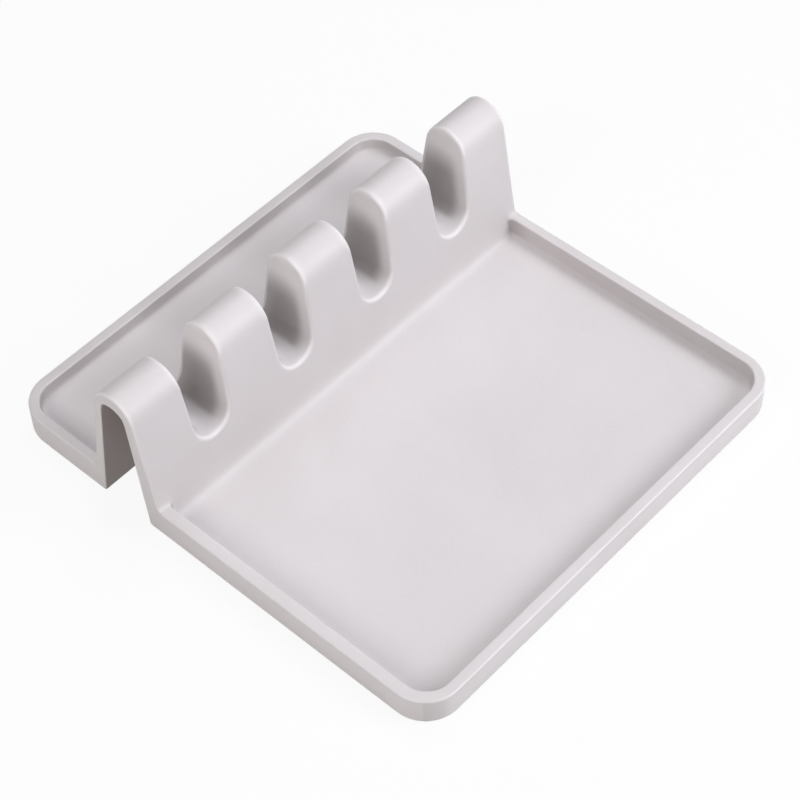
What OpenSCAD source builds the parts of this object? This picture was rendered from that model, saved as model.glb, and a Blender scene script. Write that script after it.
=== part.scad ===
// Spoon rest moulded in one piece from soft silicone.
// A wide front tray and a narrow rear tray lie either side of a hollow ridge,
// and four slots across the ridge hold the handles of spoons and spatulas.
// X runs along the ridge, Y from the front tray to the rear tray, Z is up.
// The origin is the middle of the footprint, on the surface it stands on.
// The moulding is cut into its floors, rims, walls, crowns and slot liners,
// which meet face to face with no gap.

/* [Footprint] */
// Width of the rest along the ridge
rest_w = 200; // [140:1:300]
// Depth of the front tray, from its outer edge to the foot of the ridge
front_tray_d = 129.5; // [90:0.5:200]
// Depth of the ridge at its foot
ridge_foot_d = 36; // [30:0.5:60]
// Depth of the rear tray, from the foot of the ridge to its outer edge
rear_tray_d = 45; // [30:0.5:100]
// Radius of the four outer corners seen from above
corner_r = 15; // [10:0.5:28]

/* [Trays] */
// Thickness of the front tray's floor
front_floor_t = 3.5; // [2:0.1:5]
// Thickness of the rear tray's floor, which lies higher
rear_floor_t = 6.5; // [2:0.1:7]
// Height of the raised rims above the table
rim_h = 12.5; // [10:0.5:20]
// Thickness of the raised rims
rim_t = 4.2; // [3:0.1:6]
// Radius on the top edges of the rims
rim_edge_r = 1.2; // [0.4:0.1:1.4]
// Radius of the hollow curve between a floor and a rim or the ridge
floor_fillet_r = 3; // [1:0.1:5]
// Radius of the inner corners where a rim meets the ridge
inner_corner_r = 4; // [3:0.1:6]

/* [Ridge] */
// Height of the ridge above the table
ridge_h = 64; // [50:0.5:90]
// Radius of the rounded crown
crown_r = 10; // [7:0.1:12]
// Thickness of the crown over the hollow
crown_t = 6; // [3:0.1:7]
// Radius of the two upper corners of the hollow
hollow_r = 4.5; // [2:0.1:5]
// Thickness of the front wall at its foot
front_wall_foot_t = 7.5; // [4:0.1:9]
// Thickness of the front wall under the crown
front_wall_top_t = 5; // [3:0.1:6]
// Thickness of the back wall at its foot
back_wall_foot_t = 4.8; // [3:0.1:8]
// Thickness of the back wall under the crown
back_wall_top_t = 3.4; // [2.5:0.1:5]

/* [Slots] */
// Number of slots across the ridge
slot_count = 4; // [4:1:4]
// Distance from one slot to the next
slot_pitch = 44.2; // [32:0.1:60]
// Width of a slot at the top of the ridge
slot_top_w = 20; // [12:0.1:24]
// Radius of the round bottom of a slot
slot_r = 8.4; // [5:0.1:9]
// Height of the bottom of a slot above the table
slot_floor_z = 25; // [16:0.5:34]
// Thickness of the wall that lines a slot
slot_wall_t = 3; // [2:0.1:4]

/* [Hidden] */
$fn = 72;
SILICONE = [0.84, 0.82, 0.82];

// Footprint lines
rest_d = front_tray_d + ridge_foot_d + rear_tray_d;
half_w = rest_w / 2;
front_y = -rest_d / 2;
rear_y = rest_d / 2;
ridge_front_y = front_y + front_tray_d;
ridge_back_y = ridge_front_y + ridge_foot_d;
ridge_mid_y = (ridge_front_y + ridge_back_y) / 2;

// A straight side meets a round end this share of the radius from its centre
touch_share = 0.999;

// Outside of the ridge: two leaning walls that run into a round crown
crown_z = ridge_h - crown_r;
crown_touch_r = touch_share * crown_r;
lean = atan(ridge_foot_d / 2 / crown_z) - asin(crown_touch_r / norm([ridge_foot_d / 2, crown_z]));
crown_side_y = crown_touch_r * cos(lean);
crown_side_z = crown_z + crown_touch_r * sin(lean);

// Inside of the ridge: the hollow narrows upwards to two rounded corners
ceiling_z = ridge_h - crown_t;
shoulder_z = ceiling_z - hollow_r;
hollow_front_foot_y = ridge_front_y + front_wall_foot_t;
hollow_back_foot_y = ridge_back_y - back_wall_foot_t;
hollow_front_lean = atan(tan(lean) - (front_wall_foot_t - front_wall_top_t) / shoulder_z);
hollow_back_lean = atan(tan(lean) - (back_wall_foot_t - back_wall_top_t) / shoulder_z);
hollow_touch_r = touch_share * hollow_r;
hollow_front_y = hollow_front_foot_y + shoulder_z * tan(hollow_front_lean)
    + hollow_touch_r / cos(hollow_front_lean);
hollow_back_y = hollow_back_foot_y - shoulder_z * tan(hollow_back_lean)
    - hollow_touch_r / cos(hollow_back_lean);

// Slot outline: straight sides that run into a round bottom
slot_round_z = slot_floor_z + slot_r;
slot_rise = ridge_h - slot_round_z;
slot_lean = atan(slot_top_w / 2 / slot_rise)
    - asin(touch_share * slot_r / norm([slot_top_w / 2, slot_rise]));

// Width of the rim together with the curve at its foot
rim_foot_w = rim_t + floor_fillet_r;
cut_over = rim_t;

function slot_x(i) = (i - (slot_count + 1) / 2) * slot_pitch;

// Turns a (Y, Z) outline into a bar along X, from x0 to x1
module along_x(x0, x1) {
    translate([x0, 0, 0])
        rotate([90, 0, 90])
            linear_extrude(height = x1 - x0)
                children();
}

// Turns an (X, Z) outline into a bar along Y, from y0 to y1
module along_y(y0, y1) {
    translate([0, y1, 0])
        rotate([90, 0, 0])
            linear_extrude(height = y1 - y0)
                children();
}

// Round bar along X, from x0 to x1
module round_along_x(x0, x1, y, z, r) {
    translate([x0, y, z])
        rotate([0, 90, 0])
            cylinder(r = r, h = x1 - x0);
}

// Round bar along Y, from y0 to y1
module round_along_y(y0, y1, z, r) {
    translate([0, y0, z])
        rotate([-90, 0, 0])
            cylinder(r = r, h = y1 - y0);
}

// Ridge as a solid bar with no hollow, run past both ends
module ridge_bar(over) {
    union() {
        along_x(-half_w - over, half_w + over)
            polygon([
                [ridge_front_y, 0],
                [ridge_mid_y - crown_side_y, crown_side_z],
                [ridge_mid_y + crown_side_y, crown_side_z],
                [ridge_back_y, 0]
            ]);
        round_along_x(-half_w - over, half_w + over, ridge_mid_y, crown_z, crown_r);
    }
}

// Hollow under the ridge as a solid bar, run past both ends and below the table
module hollow_bar(over) {
    front_c = cos(hollow_front_lean) * hollow_touch_r;
    front_s = sin(hollow_front_lean) * hollow_touch_r;
    back_c = cos(hollow_back_lean) * hollow_touch_r;
    back_s = sin(hollow_back_lean) * hollow_touch_r;
    top_z = shoulder_z + hollow_touch_r;
    union() {
        along_x(-half_w - over, half_w + over)
            polygon([
                [hollow_front_foot_y - front_floor_t * tan(hollow_front_lean), -front_floor_t],
                [hollow_front_y - front_c, shoulder_z + front_s],
                [hollow_front_y, top_z],
                [hollow_back_y, top_z],
                [hollow_back_y + back_c, shoulder_z + back_s],
                [hollow_back_foot_y + front_floor_t * tan(hollow_back_lean), -front_floor_t]
            ]);
        round_along_x(-half_w - over, half_w + over, hollow_front_y, shoulder_z, hollow_r);
        round_along_x(-half_w - over, half_w + over, hollow_back_y, shoulder_z, hollow_r);
    }
}

// One slot as a solid bar across the ridge, grown outwards by a wall
module slot_bar(i, grow, y0, y1, top_z) {
    r = slot_r + grow;
    touch_x = touch_share * r * cos(slot_lean);
    touch_z = slot_round_z - touch_share * r * sin(slot_lean);
    top_x = touch_x + (top_z - touch_z) * tan(slot_lean);
    translate([slot_x(i), 0, 0])
        union() {
            along_y(y0, y1)
                polygon([
                    [-touch_x, touch_z],
                    [touch_x, touch_z],
                    [top_x, top_z],
                    [-top_x, top_z]
                ]);
            round_along_y(y0, y1, slot_round_z, r);
        }
}

// Space that one slot takes out of the ridge
module slot_space(i) {
    slot_bar(i, 0, ridge_front_y - cut_over, ridge_back_y + cut_over, ridge_h + cut_over);
}

// Ridge shell inside a box between two heights and two lines across its depth
module ridge_part(x0, x1, y0, y1, z0, z1) {
    difference() {
        intersection() {
            ridge_bar(0);
            translate([x0, y0, z0])
                cube([x1 - x0, y1 - y0, z1 - z0]);
        }
        hollow_bar(cut_over);
        for (i = [1 : slot_count])
            slot_space(i);
    }
}

// Section of a rim round a floor of the given thickness: X is measured inwards from the outer face
module rim_section(floor_t) {
    union() {
        square([rim_t, rim_h - rim_edge_r]);
        translate([rim_edge_r, 0])
            square([rim_t - 2 * rim_edge_r, rim_h]);
        for (x = [rim_edge_r, rim_t - rim_edge_r])
            translate([x, rim_h - rim_edge_r])
                circle(r = rim_edge_r);
        difference() {
            square([rim_foot_w, floor_t + floor_fillet_r]);
            translate([rim_foot_w, floor_t + floor_fillet_r])
                circle(r = floor_fillet_r);
        }
    }
}

// Rim round one outer corner, about the corner's own centre
module rim_corner(turn, floor_t) {
    rotate([0, 0, turn])
        rotate_extrude(angle = 90)
            translate([corner_r, 0])
                mirror([1, 0])
                    rim_section(floor_t);
}

// Long rim with its two corners, at the outer edge of a tray
module end_rim(floor_t) {
    translate([half_w - corner_r, corner_r, 0])
        rim_corner(-90, floor_t);
    translate([corner_r - half_w, corner_r, 0])
        rim_corner(180, floor_t);
    along_x(corner_r - half_w, half_w - corner_r)
        rim_section(floor_t);
}

// Short post that rounds the inner corner between a left rim and the ridge
module inner_corner_post(wall_y, floor_t) {
    difference() {
        translate([rim_t - rim_edge_r, wall_y - inner_corner_r, floor_t])
            cube([inner_corner_r + rim_edge_r, inner_corner_r + cut_over, rim_h - floor_t]);
        translate([rim_t + inner_corner_r, wall_y - inner_corner_r, 0])
            cylinder(r = inner_corner_r, h = rim_h + cut_over);
    }
}

// Left rim of a tray whose outer edge lies at Y zero and whose ridge starts at the given depth
module side_rim(tray_d, floor_t) {
    wall_y = tray_d + rim_h * tan(lean);
    translate([-half_w, 0, 0]) {
        translate([0, corner_r, 0])
            rotate([90, 0, 0])
                mirror([0, 0, 1])
                    linear_extrude(height = wall_y + cut_over - corner_r)
                        rim_section(floor_t);
        inner_corner_post(wall_y, floor_t);
    }
}

// Floor of a tray whose outer edge lies at Y zero, as far as the ridge
module tray_floor(tray_d, floor_t) {
    foot_r = corner_r - rim_foot_w;
    fillet_z = floor_t + floor_fillet_r;
    fillet_y = tray_d + fillet_z * tan(lean) - floor_fillet_r / cos(lean);
    fillet_half_w = half_w - rim_t - inner_corner_r;
    union() {
        linear_extrude(height = floor_t)
            union() {
                for (side = [-1, 1])
                    translate([side * (half_w - corner_r), corner_r])
                        circle(r = foot_r);
                translate([corner_r - half_w, rim_foot_w])
                    square([rest_w - 2 * corner_r, tray_d + cut_over - rim_foot_w]);
                translate([rim_foot_w - half_w, corner_r])
                    square([rest_w - 2 * rim_foot_w, tray_d + cut_over - corner_r]);
            }
        along_x(-fillet_half_w, fillet_half_w)
            difference() {
                polygon([
                    [fillet_y, 0],
                    [fillet_y, floor_t],
                    [fillet_y + floor_fillet_r * cos(lean), fillet_z - floor_fillet_r * sin(lean)],
                    [tray_d + cut_over, fillet_z - floor_fillet_r * sin(lean)],
                    [tray_d + cut_over, 0]
                ]);
                translate([fillet_y, fillet_z])
                    circle(r = floor_fillet_r);
            }
    }
}

// Crown of the ridge between two slots, counted from the left
module crown(i) {
    x0 = i == 1 ? -half_w : slot_x(i - 1);
    x1 = i == slot_count + 1 ? half_w : slot_x(i);
    ridge_part(x0, x1, ridge_front_y, ridge_back_y, shoulder_z, ridge_h + cut_over);
}

// Liner that closes one slot against the hollow
module slot_liner(i) {
    difference() {
        intersection() {
            slot_bar(i, slot_wall_t, ridge_front_y, ridge_back_y, ridge_h);
            hollow_bar(0);
        }
        slot_space(i);
    }
}

// Floor of the front tray
module front_tray_floor() {
    color(SILICONE)
        difference() {
            translate([0, front_y, 0])
                tray_floor(front_tray_d, front_floor_t);
            ridge_bar(cut_over);
        }
}

// Front rim with the two round corners
module front_tray_front_rim() {
    color(SILICONE)
        translate([0, front_y, 0])
            end_rim(front_floor_t);
}

// Left rim of the front tray
module front_tray_left_rim() {
    color(SILICONE)
        difference() {
            translate([0, front_y, 0])
                side_rim(front_tray_d, front_floor_t);
            ridge_bar(cut_over);
        }
}

// Right rim of the front tray
module front_tray_right_rim() {
    color(SILICONE)
        mirror([1, 0, 0])
            difference() {
                translate([0, front_y, 0])
                    side_rim(front_tray_d, front_floor_t);
                ridge_bar(cut_over);
            }
}

// Floor of the rear tray
module rear_tray_floor() {
    color(SILICONE)
        difference() {
            translate([0, rear_y, 0])
                mirror([0, 1, 0])
                    tray_floor(rear_tray_d, rear_floor_t);
            ridge_bar(cut_over);
        }
}

// Rear rim with the two round corners
module rear_tray_rear_rim() {
    color(SILICONE)
        translate([0, rear_y, 0])
            mirror([0, 1, 0])
                end_rim(rear_floor_t);
}

// Left rim of the rear tray
module rear_tray_left_rim() {
    color(SILICONE)
        difference() {
            translate([0, rear_y, 0])
                mirror([0, 1, 0])
                    side_rim(rear_tray_d, rear_floor_t);
            ridge_bar(cut_over);
        }
}

// Right rim of the rear tray
module rear_tray_right_rim() {
    color(SILICONE)
        mirror([1, 0, 0])
            difference() {
                translate([0, rear_y, 0])
                    mirror([0, 1, 0])
                        side_rim(rear_tray_d, rear_floor_t);
                ridge_bar(cut_over);
            }
}

// Leaning front wall of the ridge, notched by the slots
module ridge_front_wall() {
    color(SILICONE)
        ridge_part(-half_w, half_w, ridge_front_y, ridge_mid_y, 0, shoulder_z);
}

// Leaning back wall of the ridge, notched by the slots
module ridge_back_wall() {
    color(SILICONE)
        ridge_part(-half_w, half_w, ridge_mid_y, ridge_back_y, 0, shoulder_z);
}

// Rounded crown left of the first slot
module ridge_crown_1() {
    color(SILICONE)
        crown(1);
}

// Rounded crown between the first and second slots
module ridge_crown_2() {
    color(SILICONE)
        crown(2);
}

// Rounded crown between the second and third slots
module ridge_crown_3() {
    color(SILICONE)
        crown(3);
}

// Rounded crown between the third and fourth slots
module ridge_crown_4() {
    color(SILICONE)
        crown(4);
}

// Rounded crown right of the fourth slot
module ridge_crown_5() {
    color(SILICONE)
        crown(5);
}

// Liner of the first slot from the left
module slot_liner_1() {
    color(SILICONE)
        slot_liner(1);
}

// Liner of the second slot from the left
module slot_liner_2() {
    color(SILICONE)
        slot_liner(2);
}

// Liner of the third slot from the left
module slot_liner_3() {
    color(SILICONE)
        slot_liner(3);
}

// Liner of the fourth slot from the left
module slot_liner_4() {
    color(SILICONE)
        slot_liner(4);
}

front_tray_floor();
front_tray_front_rim();
front_tray_left_rim();
front_tray_right_rim();
rear_tray_floor();
rear_tray_rear_rim();
rear_tray_left_rim();
rear_tray_right_rim();
ridge_front_wall();
ridge_back_wall();
ridge_crown_1();
ridge_crown_2();
ridge_crown_3();
ridge_crown_4();
ridge_crown_5();
slot_liner_1();
slot_liner_2();
slot_liner_3();
slot_liner_4();
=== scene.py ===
from math import asin, atan, cos, hypot, pi, radians, sin, tan

import bmesh
import bpy
from bpy.props import FloatProperty, FloatVectorProperty, IntProperty, PointerProperty
from mathutils import Matrix, Vector


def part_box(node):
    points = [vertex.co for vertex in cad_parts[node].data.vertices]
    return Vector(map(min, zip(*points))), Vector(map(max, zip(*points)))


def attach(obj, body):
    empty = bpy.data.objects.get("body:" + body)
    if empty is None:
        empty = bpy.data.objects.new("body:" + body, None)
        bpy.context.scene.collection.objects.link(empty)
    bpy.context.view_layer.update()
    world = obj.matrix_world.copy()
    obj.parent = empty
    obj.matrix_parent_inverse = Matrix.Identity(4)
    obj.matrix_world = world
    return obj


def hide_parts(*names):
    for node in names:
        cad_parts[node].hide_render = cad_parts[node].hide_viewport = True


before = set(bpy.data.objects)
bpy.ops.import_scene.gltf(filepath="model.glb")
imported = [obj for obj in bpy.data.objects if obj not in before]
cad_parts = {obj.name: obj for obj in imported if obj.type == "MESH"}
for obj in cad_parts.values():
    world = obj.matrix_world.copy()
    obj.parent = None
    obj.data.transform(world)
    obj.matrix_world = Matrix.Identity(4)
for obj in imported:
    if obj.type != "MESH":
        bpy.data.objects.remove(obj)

bl_info = {
    "name": "Slotted spoon rest",
    "version": (1, 0, 0),
    "blender": (4, 5, 0),
    "location": "3D View > Sidebar > Spoon Rest",
    "description": "Models a one-piece silicone spoon rest with a slotted ridge, and its studio",
    "category": "Object",
}

NODES = sorted(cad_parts)
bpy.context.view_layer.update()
RIM_LOW, RIM_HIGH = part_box("front_tray_front_rim")
FRONT_WALL_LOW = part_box("ridge_front_wall")[0]
BACK_WALL_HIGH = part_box("ridge_back_wall")[1]
CROWN_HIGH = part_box("ridge_crown_1")[1]
SLOT_COUNT = sum(name.startswith("slot_liner_") for name in NODES)

# Numbers of lines in the sheet that is formed into the moulding. A side is -1 in front or on the left, and
# 1 behind or on the right.
RINGS = 10                      # round a tray, from its outer edge inwards
RIM_LINES = 3                   # the first of them, on top of the rim before its inner wall
MIDDLE_LINES = {-1: 4, 1: 1}    # across the open floor of the front tray and of the rear one
POCKET = 6                      # from a tray's floor to the ridge, round an inner corner
WALL_LINES = 5                  # up a wall of the ridge
OVER_LINES = 9                  # over the top of the ridge, from shoulder to shoulder
CEILING_STEPS = 4               # between the rounded corners of the hollow
SIDE_LINES = 4                  # down each straight side of a slot
ROUND_STEPS = 8                 # round the bottom of a slot
SLOT_LINES = 2 * SIDE_LINES + ROUND_STEPS + 1
SLOT_MIDDLE = SLOT_LINES // 2
OVER_MIDDLE = OVER_LINES // 2
THICKNESS_STEPS = 3             # through the sheet at its border

# How the lines are spaced, in metres unless said otherwise
FILLET_END, FILLET_MIDDLE = 1.1, 0.25       # of a fillet's radius, from the corner that it fills
FLOOR_RING = 2.6                            # of a rim's width, for the last ring but one
UNDER_SHARES = (0, 0.07, 0.16, 0.26, 0.38, 0.50, 0.62, 0.74, 0.87, 1)       # of the outer corner's radius
UNDER_FOOT = (0.0035, 0.006, 0.009, 0.0125)     # under a tray, from the hollow outwards
POCKET_POWER = 0.65                         # how round an inner corner's cage is, squarer when lower
RIM_END = (0.0, 0.45, 0.8, 1.1, 1.4, 1.7)   # of the inner corner's radius, on a rim's top by the ridge
RIM_END_TURN = (0.0, 0.25, 0.75)            # how far each rim line there turns into the inner corner
SLOT_SPREAD, LAND_SPREAD = 22, 9.5          # steps in a pitch on a tray, and from a slot's middle to a land
SLOT_DROPS = (0.0, 0.14, 0.40, 0.69)        # of a slot's straight side, from the shoulder down
END_REACH, HOLLOW_REACH = 0.019, 0.016      # along the ridge from its end, outside and in the hollow
WALL_START = 0.003                          # above the rims, where the walls' lines begin
WALL_ENDS = (0, 0.0013, 0.0033, 0.0047, 0.0056, 0.0064, 0.0072, 0.0080, 0.0090, 0.0125)
CREST_DROP, LAND_DROP = 0.0025, 0.0014      # of the walls' last line below the shoulder
SLOT_CREST_DROPS = (0.0024, 0.0008)         # and beside the tops of a slot's sides
TURN_CENTRE = 0.001                         # below the shoulder, where a slot's rounded edge turns to
SADDLE = {2: 0.005, 3: 0.0015}              # rise of these lines of a slot's side, midway over the ridge
HOLLOW_BULGE = 0.8                          # of an arc's depth, at the hollow's rounded corners
BORDER_SHARE = 0.4                          # most of the sheet's thickness that a border edge takes
SMOOTH_PASSES, SMOOTH_FACTOR = 40, 0.5      # of the walls' lines


def length(name, description, default):
    """A length in metres."""
    return FloatProperty(name=name, description=description, default=default, min=0.0,
                         subtype="DISTANCE", unit="LENGTH", precision=4)


def tint(name, description, default):
    """A colour, written in linear values."""
    return FloatVectorProperty(name=name, description=description, default=default, size=3,
                               min=0.0, max=1.0, subtype="COLOR")


class RestSizes(bpy.types.PropertyGroup):
    """Sizes of the moulding."""
    width: length("Width", "Width along the ridge", RIM_HIGH.x - RIM_LOW.x)
    half_depth: length("Half depth", "Distance from the middle to the front and rear edges", -RIM_LOW.y)
    ridge_front: length("Ridge front", "Y of the ridge's front foot", FRONT_WALL_LOW.y)
    ridge_back: length("Ridge back", "Y of the ridge's back foot", BACK_WALL_HIGH.y)
    corner: length("Outer corner", "Radius of the four outer corners", 0.015)
    rim_height: length("Rim height", "Height of the rims", RIM_HIGH.z)
    rear_rim_width: length("Rear rim width", "Thickness of the rear tray's rims", 0.0042)
    front_rim_width: length("Front rim width", "Thickness of the front tray's front rim", 0.0044)
    left_rim_width: length("Left rim width", "Thickness of the front tray's left rim", 0.0049)
    right_rim_width: length("Right rim width", "Thickness of the front tray's right rim", 0.0038)
    front_floor: length("Front floor", "Thickness of the front tray's floor", 0.0035)
    rear_floor: length("Rear floor", "Thickness of the rear tray's floor", 0.0065)
    pocket_corner: length("Inner corner", "Radius where a side rim meets the ridge", 0.0042)
    ridge_height: length("Ridge height", "Height of the ridge", CROWN_HIGH.z)
    crown: length("Crown", "Radius of the rounded crown", 0.010)
    crown_wall: length("Crown thickness", "Thickness over the hollow", 0.006)
    front_foot: length("Front wall foot", "Thickness of the front wall at its foot", 0.0075)
    front_top: length("Front wall top", "Thickness of the front wall under the crown", 0.005)
    back_foot: length("Back wall foot", "Thickness of the back wall at its foot", 0.0048)
    back_top: length("Back wall top", "Thickness of the back wall under the crown", 0.0034)
    hollow_corner: length("Hollow corner", "Radius of the upper corners of the hollow", 0.0045)
    pitch: length("Slot pitch", "Distance from one slot to the next", 0.0442)
    slot_width: length("Slot width", "Width of a slot at the top of the ridge", 0.020)
    slot_round: length("Slot round", "Radius of the round bottom of a slot", 0.0088)
    slot_floor: length("Slot floor", "Height of the bottom of a slot", 0.025)
    slot_wall: length("Slot wall", "Thickness of the wall that lines a slot", 0.003)
    slot_edge: length("Slot edge", "Distance over which the edge of a slot turns", 0.0020)
    rim_edge: length("Rim edge", "Distance over which the edges of a rim turn", 0.0008)
    front_fillet: length("Front rim fillet", "Radius between the front tray's floor and its rims", 0.0020)
    rear_fillet: length("Rear rim fillet", "Radius between the rear tray's floor and its rims", 0.0016)
    foot_fillet: length("Ridge fillet", "Radius between a tray's floor and the ridge", 0.0031)
    end_edge: length("End edge", "Distance over which the edges of the ridge's ends turn", 0.0015)
    hidden_edge: length("Hidden edge", "Distance over which the edges under the rest turn", 0.0012)
    slots: IntProperty(name="Slots", description="Number of slots", default=SLOT_COUNT, min=1, max=8)


class RestColours(bpy.types.PropertyGroup):
    """Colours of the moulding and its stage."""
    silicone: tint("Silicone", "Main colour of the silicone", (0.645, 0.612, 0.617))
    silicone_deep: tint("Silicone, deep", "Colour of the silicone's darker clouds", (0.600, 0.566, 0.566))
    # Painted highlight along the thin rounded edges, also used on the slots' lips
    edge: tint("Edges", "Colour along the thin rounded edges", (0.85, 0.82, 0.825))
    shaded: tint("Rim walls", "Darkest colour of the side rims' inner walls", (0.45, 0.425, 0.42))
    # Painted light on the slots' bottoms and on their sides near the edges
    slot_light: tint("Painted slot light", "Colour of the slots' bottoms and of their sides near the edges",
                 (0.74, 0.705, 0.71))
    # Painted shade in the middle of the slots' sides
    slot: tint("Slots", "Colour in the middle of the slots' sides", (0.49, 0.455, 0.45))
    # Painted shade on the hollow's walls
    hollow: tint("Hollow", "Colour of the hollow's walls", (0.38, 0.325, 0.31))
    dust: tint("Dust", "Colour of the fine dust in the corners", (0.67, 0.69, 0.73))
    backdrop: tint("Backdrop", "Colour of the floor", (0.80, 0.80, 0.80))
    lamps: tint("Lamps", "Colour of the lamps on the right, above and behind", (0.950, 0.963, 1.0))
    left_lamps: tint("Left lamps", "Colour of the lamps on the left", (1.0, 0.966, 0.955))


# ---------------------------------------------------------------- the sheet

def cage_reach(step):
    """Radius of a cage that its subdivided skin pulls in to an arc of radius 1, for a step in radians."""
    return 3 / (2 + cos(step))


def slot_line(t):
    """Side of a slot that its line t is on, and the number of lines from that side's top."""
    return (-1 if t <= SLOT_MIDDLE else 1), min(t, SLOT_LINES - 1 - t)


class Skin:
    """The ridge's outside or inside: two leaning walls, and the (Y, Z) points that join them over the top."""

    def __init__(self, feet, leans, over, slot_r, slot_lean, slot_z, turn):
        self.feet, self.leans, self.over = feet, leans, over
        self.slot_r, self.slot_lean, self.slot_z, self.turn = slot_r, slot_lean, slot_z, turn
        self.slot_touch = slot_z - slot_r * sin(slot_lean)
        self.shoulder = over[0][1]
        self.middle = (over[0][0] + over[-1][0]) / 2

    def wall(self, side, z):
        """Y of the front wall (-1) or the back wall (1) at a height."""
        n = 0 if side < 0 else 1
        return self.feet[n] - side * z * tan(self.leans[n])

    def half(self, z):
        """Half the width of a slot at a height, on its straight sides."""
        return self.slot_r * cos(self.slot_lean) + (z - self.slot_touch) * tan(self.slot_lean)

    def round_slot(self, t, out=0.0):
        """(X, Z) of line t round a slot, moved outwards, with X measured from the slot's middle."""
        side, n = slot_line(t)
        if n < SIDE_LINES:
            z = self.shoulder - SLOT_DROPS[n] * (self.shoulder - self.slot_touch)
            return side * (self.half(z) + out * cos(self.slot_lean)), z - out * sin(self.slot_lean)
        step = (pi - 2 * self.slot_lean) / ROUND_STEPS
        a = pi + self.slot_lean + (t - SIDE_LINES) * step
        r = self.slot_r * (cage_reach(step) if n > SIDE_LINES else 1.0) + out
        return r * cos(a), self.slot_z + r * sin(a)


def slot_lean(s):
    """Lean of a slot's straight sides."""
    rise = s.ridge_height - s.slot_floor - s.slot_round
    return atan(s.slot_width / 2 / rise) - asin(s.slot_round / hypot(s.slot_width / 2, rise))


def outer_skin(s):
    """Outside of the ridge."""
    half = (s.ridge_back - s.ridge_front) / 2
    middle = (s.ridge_back + s.ridge_front) / 2
    z0 = s.ridge_height - s.crown
    lean = atan(half / z0) - asin(s.crown / hypot(half, z0))
    step = (pi - 2 * lean) / (OVER_LINES - 1)
    over = []
    for c in range(OVER_LINES):
        a = pi - lean - c * step
        r = s.crown * (cage_reach(step) if 0 < c < OVER_LINES - 1 else 1.0)
        over.append((middle + r * cos(a), z0 + r * sin(a)))
    return Skin((s.ridge_front, s.ridge_back), (lean, lean), over, s.slot_round, slot_lean(s),
                s.slot_floor + s.slot_round, s.slot_edge)


def inner_skin(s):
    """Inside of the ridge: the hollow, and the outside of the slots' linings."""
    lean = outer_skin(s).leans[0]
    ceiling = s.ridge_height - s.crown_wall
    shoulder = ceiling - s.hollow_corner
    feet = (s.ridge_front + s.front_foot, s.ridge_back - s.back_foot)
    leans = (atan(tan(lean) - (s.front_foot - s.front_top) / shoulder),
             atan(tan(lean) - (s.back_foot - s.back_top) / shoulder))
    front, back = feet[0] + shoulder * tan(leans[0]), feet[1] - shoulder * tan(leans[1])
    r, d = s.hollow_corner, s.hollow_corner * (1 - cos(pi / 4)) * HOLLOW_BULGE
    over = [(front, shoulder), (front + d, ceiling - d), (front + r, ceiling)]
    over += [(front + r + (back - front - 2 * r) * k / CEILING_STEPS, ceiling)
             for k in range(1, CEILING_STEPS)]
    over += [(back - r, ceiling), (back - d, ceiling - d), (back, shoulder)]
    return Skin(feet, leans, over, s.slot_round + s.slot_wall, slot_lean(s),
                s.slot_floor + s.slot_round, s.hidden_edge)


def column_lines(s):
    """Lines from the left end to the right one: their kind, the X that they belong to, and their number."""
    lines = [("end", -s.width / 2, k) for k in range(RINGS)]
    for n in range(s.slots):
        x = (n - (s.slots - 1) / 2) * s.pitch
        lines.append(("land", x, -1))
        lines += [("slot", x, t) for t in range(SLOT_LINES)]
        lines.append(("land", x, 1))
        if n < s.slots - 1:
            lines.append(("mid", x + s.pitch / 2, 0))
    return lines + [("end", s.width / 2, k) for k in reversed(range(RINGS))]


def row_lines():
    """Lines from the front edge, over the ridge, to the rear edge: their kind, side and number."""
    front = [("tray", -1, q) for q in range(RINGS + MIDDLE_LINES[-1] + POCKET)]
    rear = [("tray", 1, q) for q in reversed(range(RINGS + MIDDLE_LINES[1] + POCKET))]
    up = [("wall", -1, r) for r in range(WALL_LINES)]
    down = [("wall", 1, r) for r in reversed(range(WALL_LINES))]
    return front + up + [("over", 0, c) for c in range(OVER_LINES)] + down + rear


def round_corner(a, b, radius, power=1.0):
    """Point on a round corner that is a lines from its middle one way and b the other."""
    turn = 0.0 if a + b == 0 else (pi / 4 * b / a if a >= b else pi / 2 - pi / 4 * a / b)
    return radius * cos(turn) ** power, radius * sin(turn) ** power


class TrayLines:
    """Distance and height of each line of a tray at one of its rims."""

    def __init__(self, s, floor, width, fillet):
        top, edge, foot, corner = s.rim_height, s.rim_edge, s.foot_fillet, s.pocket_corner
        self.floor, self.width = floor, width
        # Rings of the tray, by their distance from its outer face inwards
        self.rings = [(0, top), (edge, top), (width - edge, top), (width, top), (width, top - edge),
                      (width, floor + fillet * FILLET_END),
                      (width + fillet * FILLET_MIDDLE, floor + fillet * FILLET_MIDDLE),
                      (width + fillet * FILLET_END, floor), (width * FLOOR_RING, floor), (s.corner, floor)]
        # Lines of an inner corner at the ridge, by their distance from the rim and from the ridge's wall
        walls = self.rings[RIM_LINES:RIM_LINES + POCKET - 1]
        self.rim_foot = [(distance - width, z) for distance, z in walls] + [(corner, floor)]
        self.ridge_foot = [(0, top), (0, top - edge), (0, floor + foot * FILLET_END),
                           (foot * FILLET_MIDDLE, floor + foot * FILLET_MIDDLE),
                           (foot * FILLET_END, floor), (corner, floor)]


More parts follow.
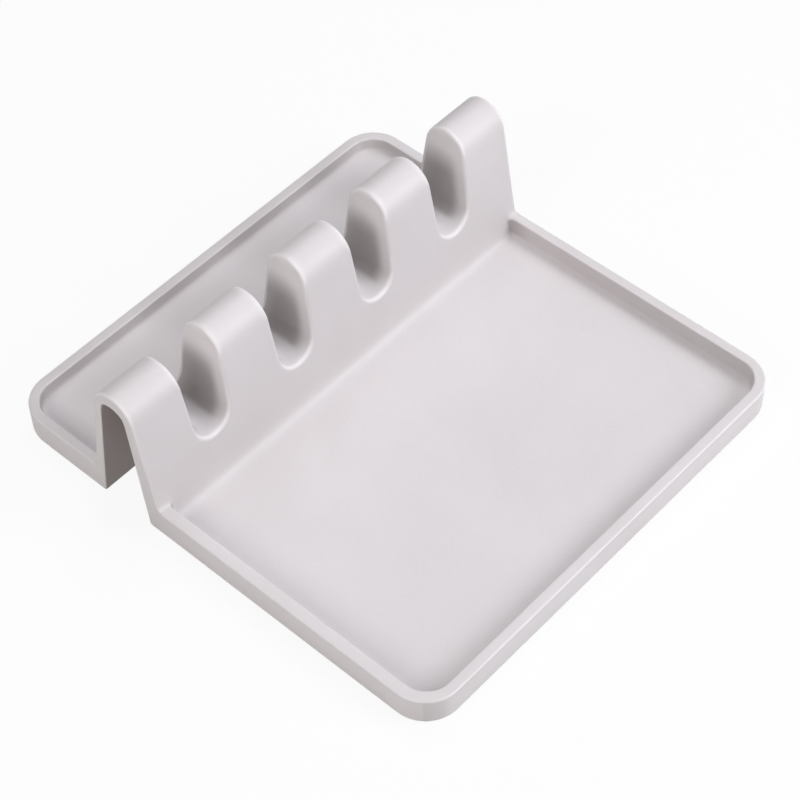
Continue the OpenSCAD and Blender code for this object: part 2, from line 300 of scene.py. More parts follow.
class Sheet:
    """Where each line crossing of the sheet lies, on its upper and its lower side."""

    def __init__(self, s):
        self.s = s
        self.columns, self.rows = column_lines(s), row_lines()
        self.upper, self.lower = outer_skin(s), inner_skin(s)
        # Lines by tray (front -1, rear 1) and by rim (left -1, the tray's outer one 0, right 1)
        widths = {-1: s.left_rim_width, 0: s.front_rim_width, 1: s.right_rim_width}
        self.trays = {(-1, rim): TrayLines(s, s.front_floor, w, s.front_fillet) for rim, w in widths.items()}
        rear = TrayLines(s, s.rear_floor, s.rear_rim_width, s.rear_fillet)
        self.trays |= {(1, rim): rear for rim in widths}
        self.under = [(s.corner * share, 0.0) for share in UNDER_SHARES]

    # --- trays
    def foot_x(self, column, depths):
        """X of a column's line on a tray."""
        kind, x, t = column
        if kind == "end":
            side = -1 if x < 0 else 1
            return side * (self.s.width / 2 - depths[t][0])
        spread = self.s.pitch / SLOT_SPREAD
        if kind == "slot":
            return x + (t - SLOT_MIDDLE) * spread
        return x + t * LAND_SPREAD * spread if kind == "land" else x

    def tray_point(self, x, side, inwards, z):
        """Point at a distance from a tray's outer edge."""
        return Vector((x, side * (self.s.half_depth - inwards), z))

    def ridge_foot(self, side, z):
        """Distance from a tray's outer edge to the ridge's wall at a height."""
        s = self.s
        return (s.ridge_front if side < 0 else -s.ridge_back) + s.half_depth + z * tan(self.upper.leans[0])

    def floor_line(self, side, q, last):
        """Distance from a tray's outer edge to a line between its rings and the last line of its floor."""
        return self.s.corner + (last - self.s.corner) * (q - RINGS + 1) / (MIDDLE_LINES[side] + 1)

    def tray(self, column, side, q, lower):
        """Point on a tray, with q counted from its outer edge."""
        kind, x, t = column
        lines = self.trays[side, -1 if x < 0 else 1]
        foot_x = self.foot_x(column, self.under if lower else lines.rings)
        left = RINGS + MIDDLE_LINES[side] + POCKET - 1 - q      # lines left to the ridge
        if q < RINGS:
            return self.tray_edge(column, side, q, lower, foot_x)
        if lower:
            return self.tray_underside(side, q, left, foot_x)
        if left < POCKET:
            return self.tray_pocket(column, side, left, foot_x)
        gap = self.s.pocket_corner * (1 if kind == "end" and t < RINGS - 1 else 2)
        inwards = self.floor_line(side, q, self.ridge_foot(side, lines.floor) - gap)
        z = lines.rings[t][1] if kind == "end" else lines.floor
        return self.tray_point(foot_x, side, inwards, z)

    def tray_edge(self, column, side, q, lower, foot_x):
        """Point on the rings along a tray's outer edge and round its outer corners."""
        s, (kind, x, t) = self.s, column
        end = -1 if x < 0 else 1
        depths = self.under if lower else self.trays[side, end].rings
        outer = self.under if lower else self.trays[side, 0].rings
        if kind != "end":
            return self.tray_point(foot_x, side, *outer[q])
        ring = min(t, q)
        depth, z = depths[ring]
        dx, dy = round_corner(RINGS - 1 - t, RINGS - 1 - q, 1.0)
        dx, dy = dx * (s.corner - depth), dy * (s.corner - outer[ring][0])
        return Vector((end * (s.width / 2 - s.corner + dx), side * (s.half_depth - s.corner + dy), z))

    def tray_underside(self, side, q, left, foot_x):
        """Point on the underside of a tray, from its rings to the hollow."""
        s = self.s
        hollow = s.half_depth - side * self.lower.feet[0 if side < 0 else 1]
        steps = (0.0, s.hidden_edge) + UNDER_FOOT
        if left < POCKET:
            return self.tray_point(foot_x, side, hollow - steps[left], 0.0)
        return self.tray_point(foot_x, side, self.floor_line(side, q, hollow - steps[-1]), 0.0)

    def tray_pocket(self, column, side, left, foot_x):
        """Point where a tray's floor and side rims meet the ridge."""
        s, (kind, x, t) = self.s, column
        end = -1 if x < 0 else 1
        lines, corner, nook = self.trays[side, end], s.pocket_corner, t - RIM_LINES
        if kind == "end" and 0 <= nook < POCKET:
            gap, z = lines.ridge_foot[left] if left < nook else lines.rim_foot[nook]
            dx, dy = round_corner(POCKET - 1 - nook, POCKET - 1 - left, corner - gap, POCKET_POWER)
            return self.tray_point(end * (s.width / 2 - lines.width - corner + dx), side,
                                   self.ridge_foot(side, z) - corner + dy, z)
        if kind == "end" and nook < 0:
            dy = round_corner(POCKET - 1, POCKET - 1 - left, corner, POCKET_POWER)[1]
            gap = corner * RIM_END[left]
            if left > 0:
                gap += (corner - dy - gap) * RIM_END_TURN[t]
            return self.tray_point(foot_x, side, self.ridge_foot(side, s.rim_height) - gap, s.rim_height)
        gap, z = lines.ridge_foot[left]
        gap = gap if left < POCKET - 1 else 2 * corner
        return self.tray_point(foot_x, side, self.ridge_foot(side, z) - gap, z)

    # --- ridge
    def over_x(self, column, skin):
        """X of an end or middle line on the top of the ridge."""
        kind, x, t = column
        if kind == "mid":
            return x
        side = -1 if x < 0 else 1
        first = self.s.end_edge if skin is self.upper else self.s.hidden_edge
        far = END_REACH if skin is self.upper else HOLLOW_REACH
        depth = 0.0 if t == 0 else first + (far - first) * (t - 1) / (RINGS - 2)
        return side * (self.s.width / 2 - depth)

    def crest(self, column, skin, side):
        """Point on the last wall line below the shoulder."""
        kind, x, t = column
        if kind in ("end", "mid"):
            z = skin.shoulder - CREST_DROP
            return Vector((self.over_x(column, skin), skin.wall(side, z), z))
        if kind == "land":
            z = skin.shoulder - LAND_DROP
            return Vector((x + t * (skin.half(z) + skin.turn), skin.wall(side, z), z))
        n = slot_line(t)[1]
        dx, z = skin.round_slot(t, skin.turn)
        if n < len(SLOT_CREST_DROPS):
            z -= SLOT_CREST_DROPS[n]
        return Vector((x + dx, skin.wall(side, z), z))

    def wall(self, column, side, r, lower):
        """Point on a wall of the ridge, with r counted upwards."""
        s = self.s
        skin = self.lower if lower else self.upper
        z0 = s.hidden_edge if lower else s.rim_height + WALL_START
        if column[0] == "end":
            end = -1 if column[1] < 0 else 1
            depths = (0, s.hidden_edge, *(depth for depth, _ in self.under[2:])) if lower else WALL_ENDS
            x0 = end * (s.width / 2 - depths[column[2]])
        else:
            x0 = self.foot_x(column, self.under)
        low = Vector((x0, skin.wall(side, z0), z0))
        return low.lerp(self.crest(column, skin, side), r / (WALL_LINES - 1))

    def over(self, column, c, lower):
        """Point over the top of the ridge or across a slot, with c counted from the front shoulder."""
        skin = self.lower if lower else self.upper
        kind, x, t = column
        y, z = skin.over[c]
        if kind in ("end", "mid"):
            return Vector((self.over_x(column, skin), y, z))
        if kind == "land":
            return Vector((x + t * (skin.half(z) + skin.turn), y, z))
        side, n = slot_line(t)
        if n == 0:
            return Vector((x + side * skin.half(z), y, z))
        dx, h = skin.round_slot(t)
        if c in (0, OVER_LINES - 1):
            return Vector((x + dx, skin.wall(-1 if c == 0 else 1, h), h))
        if n == 1:
            u = (c - 1) * (OVER_LINES - 1) / (OVER_LINES - 3)
            k = min(int(u), OVER_LINES - 2)
            p = Vector(skin.over[k]).lerp(Vector(skin.over[k + 1]), u - k)
            inward = Vector((skin.middle, skin.shoulder - TURN_CENTRE)) - p
            p += inward.normalized() * skin.turn
            return Vector((x + side * skin.half(p.y), p.x, p.y))
        front, back = skin.wall(-1, h), skin.wall(1, h)
        y = front + skin.turn + (back - front - 2 * skin.turn) * (c - 1) / (OVER_LINES - 3)
        if n < SIDE_LINES:
            z = h + SADDLE[n] * (1 - ((c - OVER_MIDDLE) / OVER_MIDDLE) ** 2)
            return Vector((x + side * skin.half(z), y, z))
        return Vector((x + dx, y, h))

    def point(self, i, j, lower):
        """Point of the sheet's upper or lower side, by the numbers of its column and row."""
        column = self.columns[i]
        kind, side, n = self.rows[j]
        if kind == "tray":
            return self.tray(column, side, n, lower)
        if kind == "wall":
            return self.wall(column, side, n, lower)
        return self.over(column, n, lower)

    def place(self, i, j, level):
        """Point of the sheet, with level 0 below, 1 above and two steps between them round the border."""
        if level in (0.0, 1.0):
            return self.point(i, j, level == 0.0)
        top, bottom = self.point(i, j, False), self.point(i, j, True)
        span = (top - bottom).length
        ridge = i in (0, len(self.columns) - 1) and self.rows[j][0] != "tray"
        first = min(self.s.end_edge if ridge else self.s.rim_edge, span * BORDER_SHARE)
        last = min(self.s.hidden_edge, span * BORDER_SHARE)
        step = first / span if level > 0.5 else 1 - last / span
        return top.lerp(bottom, step)


def flat_sheet(across, along):
    """A closed slab with a vertex at each whole number across and along, and thirds of 1 through it."""
    bm = bmesh.new()
    bmesh.ops.create_grid(bm, x_segments=across, y_segments=along, size=0.5)
    spread = Matrix.Diagonal((across, along, 1, 1)) @ Matrix.Translation((0.5, 0.5, 0))
    bmesh.ops.transform(bm, matrix=spread, verts=bm.verts)
    made = bmesh.ops.extrude_face_region(bm, geom=bm.faces[:], use_keep_orig=True)
    lifted = [v for v in made["geom"] if isinstance(v, bmesh.types.BMVert)]
    bmesh.ops.translate(bm, vec=(0, 0, 1), verts=lifted)
    upright = [e for e in bm.edges if abs(e.verts[0].co.z - e.verts[1].co.z) > 0.5]
    bmesh.ops.subdivide_edges(bm, edges=upright, cuts=THICKNESS_STEPS - 1, use_grid_fill=True)
    return bm


def smooth_wall(bm, verts, skin, side):
    """Even out the lines of one wall of the ridge, and keep them on its plane."""
    for _ in range(SMOOTH_PASSES):
        bmesh.ops.smooth_vert(bm, verts=verts, factor=SMOOTH_FACTOR,
                              use_axis_x=True, use_axis_y=False, use_axis_z=True)
    for v in verts:
        v.co.y = skin.wall(side, v.co.z)


def build_moulding(s):
    """Sheet with thickness, laid out flat on its line numbers and then formed into trays, ridge and slots."""
    sheet = Sheet(s)
    across, along = len(sheet.columns) - 1, len(sheet.rows) - 1
    bm = flat_sheet(across, along)
    walls = {}
    for v in bm.verts:
        i, j, level = round(v.co.x), round(v.co.y), round(v.co.z * THICKNESS_STEPS) / THICKNESS_STEPS
        v.co = sheet.place(i, j, level)
        kind, side, n = sheet.rows[j]
        if kind == "wall" and 0 < n < WALL_LINES - 1 and 0 < i < across and level in (0.0, 1.0):
            walls.setdefault((side, level), []).append(v)
    for (side, level), verts in walls.items():
        smooth_wall(bm, verts, sheet.lower if level == 0.0 else sheet.upper, side)
    bmesh.ops.recalc_face_normals(bm, faces=bm.faces)
    for f in bm.faces:
        f.smooth = True
    return bm


def new_object(name, bm, material):
    """Object made from a mesh, with its material."""
    mesh = bpy.data.meshes.new(name)
    bm.to_mesh(mesh)
    bm.free()
    mesh.materials.append(material)
    obj = bpy.data.objects.new(name, mesh)
    bpy.context.scene.collection.objects.link(obj)
    return obj


def piece(name, bm, material, nodes):
    """Object that rides on the part's one body and stands for CAD nodes."""
    obj = new_object(name, bm, material)
    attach(obj, "root")
    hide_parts(*nodes)
    return obj


# ---------------------------------------------------------------- nodes

def rgba(colour):
    """A colour with its alpha."""
    return (*colour, 1.0)


def new_group(name, numbers, outputs):
    """A node group that takes a vector and named numbers and gives out named values, with its sockets."""
    group = bpy.data.node_groups.new(name, "ShaderNodeTree")
    group.interface.new_socket(name="Vector", in_out="INPUT", socket_type="NodeSocketVector")
    for label, value in numbers.items():
        socket = group.interface.new_socket(name=label, in_out="INPUT", socket_type="NodeSocketFloat")
        socket.default_value = value
    for label in outputs:
        group.interface.new_socket(name=label, in_out="OUTPUT", socket_type="NodeSocketFloat")
    return group, group.nodes.new("NodeGroupInput").outputs, group.nodes.new("NodeGroupOutput").inputs


def node(tree, kind, values=None, **settings):
    """A node with its settings, and its inputs set to values or linked to sockets."""
    made = tree.nodes.new(kind)
    for name, value in settings.items():
        setattr(made, name, value)
    for key, value in (values or {}).items():
        if isinstance(value, bpy.types.NodeSocket):
            tree.links.new(value, made.inputs[key])
        else:
            made.inputs[key].default_value = value
    return made


def effect(tree, group, place, numbers=None):
    """Outputs of a node group that is set into a material with its own numbers."""
    return node(tree, "ShaderNodeGroup", {"Vector": place, **(numbers or {})}, node_tree=group).outputs


def maths(tree, operation, *values, **settings):
    """Result of a math node."""
    return node(tree, "ShaderNodeMath", dict(enumerate(values)), operation=operation, **settings).outputs[0]


def ramp(tree, value, low, high):
    """Soft step of a value, from 0 at the low limit to 1 at the high one."""
    return node(tree, "ShaderNodeMapRange", {"Value": value, "From Min": low, "From Max": high},
                interpolation_type="SMOOTHSTEP").outputs[0]


def rescale(tree, value, source, target):
    """A value moved evenly from one range to another and held inside it."""
    return node(tree, "ShaderNodeMapRange", {"Value": value, "From Min": source[0], "From Max": source[1],
                                             "To Min": target[0], "To Max": target[1]}).outputs[0]


def noise(tree, place, scale, **settings):
    """Noise between 0 and 1."""
    return node(tree, "ShaderNodeTexNoise", {"Vector": place, "Scale": scale, **settings}).outputs["Fac"]


def mix(tree, share, first, second, kind="RGBA"):
    """Two colours, or two numbers, mixed by the share of the second."""
    return node(tree, "ShaderNodeMix", {"Factor": share, "A": first, "B": second},
                data_type=kind).outputs["Result"]


def facing(tree):
    """How far the surface faces along X, Y and Z."""
    shape = node(tree, "ShaderNodeNewGeometry")
    return node(tree, "ShaderNodeSeparateXYZ", {"Vector": shape.outputs["Normal"]}).outputs


def seen_directly(tree):
    """1 for what the camera or a reflection sees, 0 for what only lights other things."""
    path = node(tree, "ShaderNodeLightPath")
    return maths(tree, "MAXIMUM", path.outputs["Is Camera Ray"], path.outputs["Is Glossy Ray"])


# ---------------------------------------------------------------- silicone

GRAIN = {"Detail": 3.0, "Roughness": 0.62}
WAVE = {"Detail": 1.5, "Roughness": 0.45}
CLOUD = {"Detail": 4.0, "Roughness": 0.55, "Distortion": 0.3}
PIT_DISTANCE, PIT_HEIGHT = (0.02, 0.05), (-0.6, 0.0)    # from a pit's middle to its rim
PATCH_SCALE, SPECK_SCALE = 120.0, 900.0                 # of the patches that break up the painted highlight and polish on edges, and of the specks of dust
SPECK_RANGE = (0.42, 0.72)
DUST_UPWARD = (0.55, 0.98)                              # share of the normal along Z
DUST_CLEAR, DUST_FLOOR = 0.35, 0.003                    # share of dust high up, and height of its full share


def grain_group():
    """The fine grain that the mould leaves, its shallow waviness and a few pin-sized pits."""
    tree, given, result = new_group(
        "moulded_grain", {"Grain Size": 0.0006, "Wave Size": 0.009, "Wave Share": 0.4}, ("Height", "Tone"))
    fine = maths(tree, "DIVIDE", 1.0, given["Grain Size"])
    broad = maths(tree, "DIVIDE", 1.0, given["Wave Size"])
    grain = noise(tree, given["Vector"], fine, **GRAIN)
    wave = noise(tree, given["Vector"], broad, **WAVE)
    pits = node(tree, "ShaderNodeTexVoronoi", {"Vector": given["Vector"], "Scale": broad, "Randomness": 1.0},
                feature="F1")
    pit = rescale(tree, pits.outputs["Distance"], PIT_DISTANCE, PIT_HEIGHT)
    surface = mix(tree, given["Wave Share"], grain, wave, "FLOAT")
    tree.links.new(maths(tree, "ADD", surface, pit), result["Height"])
    tree.links.new(grain, result["Tone"])
    return tree


def cloud_group():
    """Broad, faint clouds of tone, as a thick casting of silicone has."""
    tree, given, result = new_group("clouded_tone", {"Size": 0.06, "Softness": 0.35}, ("Mask",))
    scale = maths(tree, "DIVIDE", 1.0, given["Size"])
    cloud = noise(tree, given["Vector"], scale, **CLOUD)
    low = maths(tree, "SUBTRACT", 0.5, given["Softness"])
    high = maths(tree, "ADD", 0.5, given["Softness"])
    tree.links.new(ramp(tree, cloud, low, high), result["Mask"])
    return tree


def edge_highlight_group():
    """The line along an outer edge, broken up by the grain: its colour is a painted highlight, and its lower
    roughness stands for slight polish.
    """
    tree, given, result = new_group("painted_edge_highlight", {"Start": 0.516, "Full": 0.572, "Break": 0.3}, ("Mask",))
    shape = node(tree, "ShaderNodeNewGeometry")
    line = ramp(tree, shape.outputs["Pointiness"], given["Start"], given["Full"])
    patch = noise(tree, given["Vector"], PATCH_SCALE, Detail=3.0)
    broken = maths(tree, "MULTIPLY", patch, given["Break"])
    keep = maths(tree, "SUBTRACT", 1.0, broken, use_clamp=True)
    tree.links.new(maths(tree, "MULTIPLY", line, keep), result["Mask"])
    return tree


def dust_group():
    """Fine dust that lies on what faces up, thicker low down, where a tray meets its rim or the ridge."""
    tree, given, result = new_group("settled_dust", {"Top": 0.012, "Amount": 0.15}, ("Mask",))
    upward = ramp(tree, facing(tree)["Z"], *DUST_UPWARD)
    place = node(tree, "ShaderNodeSeparateXYZ", {"Vector": given["Vector"]}).outputs
    low = rescale(tree, place["Z"], (given["Top"], DUST_FLOOR), (DUST_CLEAR, 1.0))
    speck = noise(tree, given["Vector"], SPECK_SCALE, Detail=2.0)
    spots = rescale(tree, speck, SPECK_RANGE, (0.0, 1.0))
    seen = maths(tree, "MULTIPLY", maths(tree, "MULTIPLY", upward, low), spots)
    mask = maths(tree, "MULTIPLY", seen, given["Amount"], use_clamp=True)
    tree.links.new(mask, result["Mask"])
    return tree


# Where the painted light and shade of the ridge and the rims start and where they are full. Depths run
# inwards from the ridge's faces, its top, its ends or the rims' tops, in metres. The others are shares of the
# normal.
RIDGE_NUMBERS = {"Front": 0.0, "Back": 0.0, "Slope": 0.1, "End": 0.1}
ROUNDING = 0.004                                        # where two depths meet
TOP_SHARE, CORE_TOP_SHARE = 0.6, 0.42                   # of the depth below the top, which runs slower
HOLLOW_DEPTH, HOLLOW_ACROSS, HOLLOW_LEVEL = (0.0016, 0.0030), (0.6, 0.3), (0.5, 0.3)
SLOT_DEPTH, SLOT_SIDEWAYS = (-0.0005, 0.0010), (0.35, 0.7)
BOTTOM_HEIGHT, BOTTOM_UPWARD = (0.045, 0.035), (0.2, 0.6)
END_DEPTH = (0.0012, 0.0024)
CORE_FRONT, CORE_BACK, CORE_SIDEWAYS = (0.0036, 0.0096), (0.0002, 0.0020), (0.3, 0.6)
LIP_START, LIP_END, LIP_SIDEWAYS = (0.0001, 0.0006), (0.0020, 0.0011), (0.08, 0.35)
LIP_HIGH, LIP_LOW = 0.4, 0.75                           # strength of the painted highlight on the lip beside a slot and below it
RIM_SIDEWAYS, RIM_LEVEL = (0.2, 0.5), (0.55, 0.2)
RIM_TOP_DEPTH, RIM_END_DEPTH, RIM_RIDGE_DEPTH = (0.0004, 0.0014), (0.0030, 0.0036), (-0.0010, 0.0005)
RIM_NEAR, RIM_NEAR_SHARE = (0.012, 0.001), 0.66         # distance from the ridge, and what it adds


def ridge_depths(tree, given):
    """Place of a point, its depths below the ridge's front and back faces, and its depth from an end."""
    place = node(tree, "ShaderNodeSeparateXYZ", {"Vector": given["Vector"]}).outputs
    lean = maths(tree, "MULTIPLY", place["Z"], given["Slope"])
    front = maths(tree, "SUBTRACT", maths(tree, "SUBTRACT", place["Y"], given["Front"]), lean)
    back = maths(tree, "SUBTRACT", maths(tree, "SUBTRACT", given["Back"], place["Y"]), lean)
    ends = maths(tree, "SUBTRACT", given["End"], maths(tree, "ABSOLUTE", place["X"]))
    return place, front, back, ends


def light_and_shade_group():
    """Masks of painted light and shade: painted shade on the hollow's walls, painted light on the slots'
    sides and bottoms, painted shade in the sides' dark core and a painted highlight on the lip.
    """
    tree, given, result = new_group("painted_light_and_shade_inside", {**RIDGE_NUMBERS, "Top": 0.06},
                                    ("Hollow", "Slot", "Shaded Core", "Lip Highlight"))
    place, front, back, ends = ridge_depths(tree, given)
    normal = facing(tree)
    sideways = maths(tree, "ABSOLUTE", normal["X"])
    below = maths(tree, "SUBTRACT", given["Top"], place["Z"])
    over = maths(tree, "MULTIPLY", below, TOP_SHARE)
    depth = maths(tree, "SMOOTH_MIN", maths(tree, "SMOOTH_MIN", front, back, ROUNDING), over, ROUNDING)
    within = ramp(tree, ends, *END_DEPTH)
    low = ramp(tree, place["Z"], *BOTTOM_HEIGHT)

    # Painted shade on the hollow's walls
    across = maths(tree, "MULTIPLY", ramp(tree, sideways, *HOLLOW_ACROSS),
                   ramp(tree, normal["Z"], *HOLLOW_LEVEL))
    hollow = maths(tree, "MULTIPLY", ramp(tree, depth, *HOLLOW_DEPTH), across)

    # Slots' sides and bottoms, which take painted light, and painted shade in their core
    side = ramp(tree, sideways, *SLOT_SIDEWAYS)
    bottom = maths(tree, "MULTIPLY", ramp(tree, normal["Z"], *BOTTOM_UPWARD), low)
    inside = maths(tree, "MULTIPLY", ramp(tree, depth, *SLOT_DEPTH), within)
    slot = maths(tree, "MULTIPLY", maths(tree, "MAXIMUM", side, bottom), inside)

    # Painted shade in the middle of the slots' sides, away from the front face
    nearest = maths(tree, "SMOOTH_MIN", front, maths(tree, "MULTIPLY", below, CORE_TOP_SHARE), ROUNDING)
    steep = maths(tree, "MULTIPLY", ramp(tree, sideways, *CORE_SIDEWAYS), ramp(tree, back, *CORE_BACK))
    core = maths(tree, "MULTIPLY", steep, ramp(tree, nearest, *CORE_FRONT))

    # Painted highlight on the lip near a slot's edge, beside it and below
    band = maths(tree, "MULTIPLY", ramp(tree, depth, *LIP_START), ramp(tree, depth, *LIP_END))
    high = maths(tree, "MULTIPLY", ramp(tree, sideways, *LIP_SIDEWAYS), LIP_HIGH)
    share = maths(tree, "MAXIMUM", high, maths(tree, "MULTIPLY", low, LIP_LOW))
    lip = maths(tree, "MULTIPLY", maths(tree, "MULTIPLY", band, share), within)

    for label, mask in (("Hollow", hollow), ("Slot", slot), ("Shaded Core", core), ("Lip Highlight", lip)):
        tree.links.new(mask, result[label])
    return tree


def rim_wall_group():
    """Mask of the side rims' inner walls, which the rims shade, and most of all their ends by the ridge."""
    tree, given, result = new_group("shaded_rim_wall", {**RIDGE_NUMBERS, "Rim": 0.0125}, ("Mask",))
    place, front, back, ends = ridge_depths(tree, given)
    normal = facing(tree)
    sideways = maths(tree, "ABSOLUTE", normal["X"])
    below = maths(tree, "SUBTRACT", given["Rim"], place["Z"])
    away = maths(tree, "MULTIPLY", maths(tree, "MINIMUM", front, back), -1.0)
    steep = maths(tree, "MULTIPLY", ramp(tree, sideways, *RIM_SIDEWAYS), ramp(tree, normal["Z"], *RIM_LEVEL))
    wall = maths(tree, "MULTIPLY", steep, ramp(tree, below, *RIM_TOP_DEPTH))
    inner = maths(tree, "MULTIPLY", ramp(tree, ends, *RIM_END_DEPTH), ramp(tree, away, *RIM_RIDGE_DEPTH))
    near = maths(tree, "MULTIPLY_ADD", ramp(tree, away, *RIM_NEAR), RIM_NEAR_SHARE, 1 - RIM_NEAR_SHARE)
    mask = maths(tree, "MULTIPLY", maths(tree, "MULTIPLY", wall, inner), near)
    tree.links.new(mask, result["Mask"])
    return tree


TONE_RANGE, MATTE_RANGE = (0.3, 0.7), (0.47, 0.57)      # grain, and the roughness that it gives
EDGE_ROUGHNESS, DUST_ROUGHNESS = 0.45, 0.85
GRAIN_BUMP = {"Strength": 0.14, "Distance": 0.00012}


def silicone_material(s, c):
    """Matte moulded silicone: two close tones, edges with a painted highlight and slightly lower roughness,
    dust, painted shade on the rims' inner walls and in the hollow, painted light and shade in the slots, and
    a fine grain.
    """
    material = bpy.data.materials.new("silicone")
    material.use_nodes = True
    tree = material.node_tree
    shader = tree.nodes["Principled BSDF"]
    place = node(tree, "ShaderNodeTexCoord").outputs["Object"]
    grain = effect(tree, grain_group(), place)
    cloud = effect(tree, cloud_group(), place)
    edge = effect(tree, edge_highlight_group(), place)
    dust = effect(tree, dust_group(), place)
    ridge = {"Front": s.ridge_front, "Back": s.ridge_back, "Slope": tan(outer_skin(s).leans[0]),
             "End": s.width / 2}
    painted_inside = effect(tree, light_and_shade_group(), place, {**ridge, "Top": s.ridge_height})
    shade = effect(tree, rim_wall_group(), place, {**ridge, "Rim": s.rim_height})

    tone = mix(tree, cloud["Mask"], rgba(c.silicone), rgba(c.silicone_deep))
    # Painted highlight along the thin rounded edges
    tone = mix(tree, edge["Mask"], tone, rgba(c.edge))
    tone = mix(tree, dust["Mask"], tone, rgba(c.dust))
    tone = mix(tree, shade["Mask"], tone, rgba(c.shaded))
    # Painted light in the slots, with painted shade in the middle of their sides
    slot = mix(tree, painted_inside["Shaded Core"], rgba(c.slot_light), rgba(c.slot))
    tone = mix(tree, painted_inside["Slot"], tone, slot)
    # Painted highlight on the lip beside and below a slot
    tone = mix(tree, painted_inside["Lip Highlight"], tone, rgba(c.edge))
    # Painted shade on the hollow's walls
    tone = mix(tree, painted_inside["Hollow"], tone, rgba(c.hollow))
    tree.links.new(tone, shader.inputs["Base Color"])

    matte = rescale(tree, grain["Tone"], TONE_RANGE, MATTE_RANGE)
    worn = mix(tree, edge["Mask"], matte, EDGE_ROUGHNESS, "FLOAT")
    dull = mix(tree, dust["Mask"], worn, DUST_ROUGHNESS, "FLOAT")
    tree.links.new(dull, shader.inputs["Roughness"])
    bump = node(tree, "ShaderNodeBump", {"Height": grain["Height"], **GRAIN_BUMP})
    tree.links.new(bump.outputs["Normal"], shader.inputs["Normal"])
    return material


# ---------------------------------------------------------------- stage

# The softboxes: name, azimuth from the front and elevation in degrees, and power in watts
LAMPS = (
    ("softbox_right", 30, 38, 7.9),
    ("softbox_left", -90, 38, 5.7),
    ("softbox_high", 90, 74, 4.1),
    ("softbox_back", 135, 58, 3.0),
    ("fill_right", 30, 18, 3.1),
    ("fill_left", -60, 18, 1.7),
)
LAMP_DISTANCE, LAMP_SIZE = 1.2, 0.6
WORLD_LIGHT = 0.03
WHITE = {"Color": (1, 1, 1, 1), "Strength": 1.0}
FLOOR_SIZE, FLOOR_GAP = 3.0, 0.0002
PAPER_ROUGHNESS, PAPER_SPECULAR = 0.9, 0.1
PAPER_WHITE = 0.91                                      # share of plain white in what is seen of the floor
CAMERA_PLACE = (-0.395695, -0.380565, 0.672629)
CAMERA_TURN = (-46.2364, 50.5545, 2.1352)               # azimuth, elevation and roll in degrees
FOCAL_PIXELS, PICTURE_PIXELS, SENSOR = 2277.486, 800, 36.0
CLIP_START, CLIP_END = 0.01, 20.0


def floor_material(c):
    """Pale paper that looks nearly white to the camera and in reflections, and keeps the object's shadow."""
    material = bpy.data.materials.new("stage_floor")
    material.use_nodes = True
    tree = material.node_tree
    shader = tree.nodes["Principled BSDF"]
    shader.inputs["Base Color"].default_value = rgba(c.backdrop)
    shader.inputs["Roughness"].default_value = PAPER_ROUGHNESS
    shader.inputs["Specular IOR Level"].default_value = PAPER_SPECULAR
    white = node(tree, "ShaderNodeEmission", WHITE)
    share = maths(tree, "MULTIPLY", seen_directly(tree), PAPER_WHITE)
    mixed = node(tree, "ShaderNodeMixShader", {0: share, 1: shader.outputs[0], 2: white.outputs[0]})
    tree.links.new(mixed.outputs[0], tree.nodes["Material Output"].inputs["Surface"])
    return material


def add_floor(colours):
    """The floor, just under the object."""
    bm = bmesh.new()
    bmesh.ops.create_grid(bm, x_segments=1, y_segments=1, size=FLOOR_SIZE)
    floor = new_object("stage_floor", bm, floor_material(colours))
    floor.location.z = -FLOOR_GAP


def add_world(scene):
    """Faint light from all round, where the camera and reflections see white."""
    world = bpy.data.worlds.new("studio")
    scene.world = world
    world.use_nodes = True
    tree = world.node_tree
    faint = tree.nodes["Background"]
    faint.inputs["Strength"].default_value = WORLD_LIGHT
    white = node(tree, "ShaderNodeBackground", WHITE)
    mixed = node(tree, "ShaderNodeMixShader", {0: seen_directly(tree), 1: faint.outputs[0],
                                               2: white.outputs[0]})
    tree.links.new(mixed.outputs[0], tree.nodes["World Output"].inputs["Surface"])


def outward(azimuth, elevation):
    """Direction from the object, with the azimuth counted from the front."""
    return Vector((sin(azimuth) * cos(elevation), -cos(azimuth) * cos(elevation), sin(elevation)))


def add_lamps(scene, colours):
    """Square softboxes that face the object."""
    for name, azimuth, elevation, power in LAMPS:
        lamp = bpy.data.lights.new(name, "AREA")
        lamp.energy, lamp.size = power, LAMP_SIZE
        lamp.color = colours.left_lamps if azimuth < 0 else colours.lamps
        lit = bpy.data.objects.new(name, lamp)
        lit.location = LAMP_DISTANCE * outward(radians(azimuth), radians(elevation))
        lit.rotation_mode = "QUATERNION"
        lit.rotation_quaternion = lit.location.to_track_quat("Z", "Y")
        scene.collection.objects.link(lit)


def camera_matrix(location, azimuth, elevation, roll):
    """Camera matrix from where it stands, which way it looks and how far it is turned about its own axis."""
    back = outward(azimuth, elevation)
    right = Vector((0, 0, 1)).cross(back).normalized()
    up = back.cross(right)
    x, y = right * cos(roll) - up * sin(roll), right * sin(roll) + up * cos(roll)
    return Matrix.Translation(location) @ Matrix((x, y, back)).transposed().to_4x4()


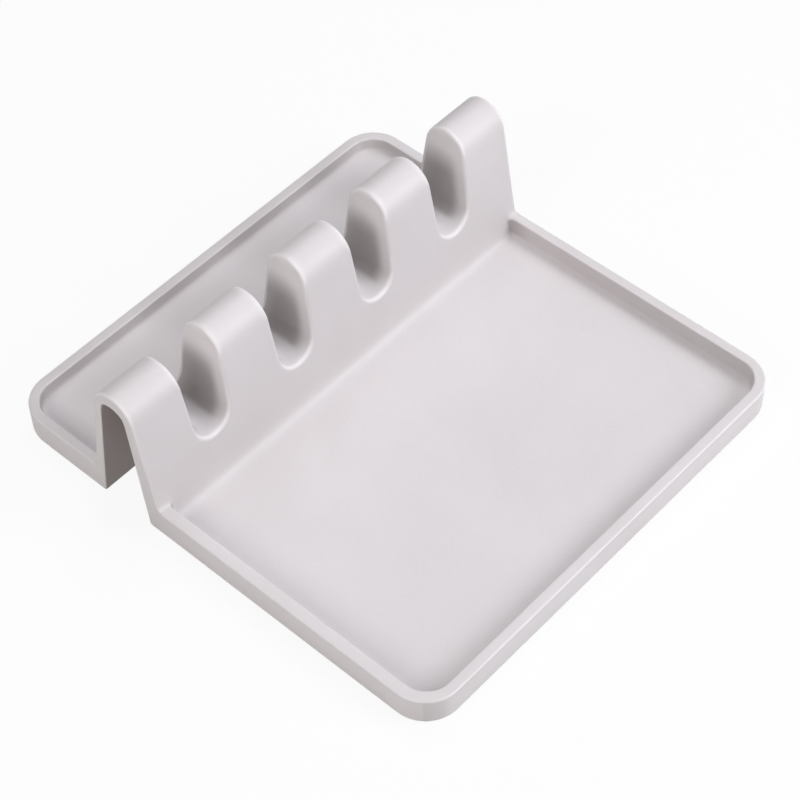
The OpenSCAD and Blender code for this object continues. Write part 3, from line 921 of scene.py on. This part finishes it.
def add_camera(scene):
    """The camera, where the photograph was taken from."""
    data = bpy.data.cameras.new("camera")
    data.sensor_width, data.lens = SENSOR, FOCAL_PIXELS / PICTURE_PIXELS * SENSOR
    data.clip_start, data.clip_end = CLIP_START, CLIP_END
    camera = bpy.data.objects.new("camera", data)
    camera.matrix_world = camera_matrix(CAMERA_PLACE, *(radians(angle) for angle in CAMERA_TURN))
    scene.collection.objects.link(camera)
    scene.camera = camera


# ---------------------------------------------------------------- operators

class REST_OT_moulding(bpy.types.Operator):
    """Model the moulding: both trays, the hollow ridge and its slots"""
    bl_idname = "rest.moulding"
    bl_label = "Moulding"
    bl_options = {"REGISTER", "UNDO"}

    def execute(self, context):
        sizes, colours = context.scene.rest_sizes, context.scene.rest_colours
        obj = piece("silicone_moulding", build_moulding(sizes), silicone_material(sizes, colours), NODES)
        rounding = obj.modifiers.new("Rounding", "SUBSURF")
        rounding.levels = rounding.render_levels = 1
        return {"FINISHED"}


class REST_OT_stage(bpy.types.Operator):
    """Set up the floor, the soft studio light and the camera"""
    bl_idname = "rest.stage"
    bl_label = "Stage"
    bl_options = {"REGISTER", "UNDO"}

    def execute(self, context):
        scene = context.scene
        add_floor(scene.rest_colours)
        add_world(scene)
        add_lamps(scene, scene.rest_colours)
        add_camera(scene)
        scene.view_settings.view_transform = "Standard"
        return {"FINISHED"}


class REST_PT_panel(bpy.types.Panel):
    """Sizes, colours and steps of the spoon rest"""
    bl_idname = "REST_PT_panel"
    bl_label = "Spoon Rest"
    bl_space_type = "VIEW_3D"
    bl_region_type = "UI"
    bl_category = "Spoon Rest"

    def draw(self, context):
        for group in (context.scene.rest_sizes, context.scene.rest_colours):
            box = self.layout.box()
            for name in group.__annotations__:
                box.prop(group, name)
        for step in STEPS:
            self.layout.operator(step.bl_idname)


STEPS = (REST_OT_moulding, REST_OT_stage)
CLASSES = (RestSizes, RestColours, *STEPS, REST_PT_panel)


def register():
    for cls in CLASSES:
        bpy.utils.register_class(cls)
    bpy.types.Scene.rest_sizes = PointerProperty(type=RestSizes)
    bpy.types.Scene.rest_colours = PointerProperty(type=RestColours)


def unregister():
    del bpy.types.Scene.rest_sizes
    del bpy.types.Scene.rest_colours
    for cls in reversed(CLASSES):
        bpy.utils.unregister_class(cls)


def main():
    register()
    bpy.ops.rest.moulding()
    bpy.ops.rest.stage()


if __name__ == "__main__":
    main()
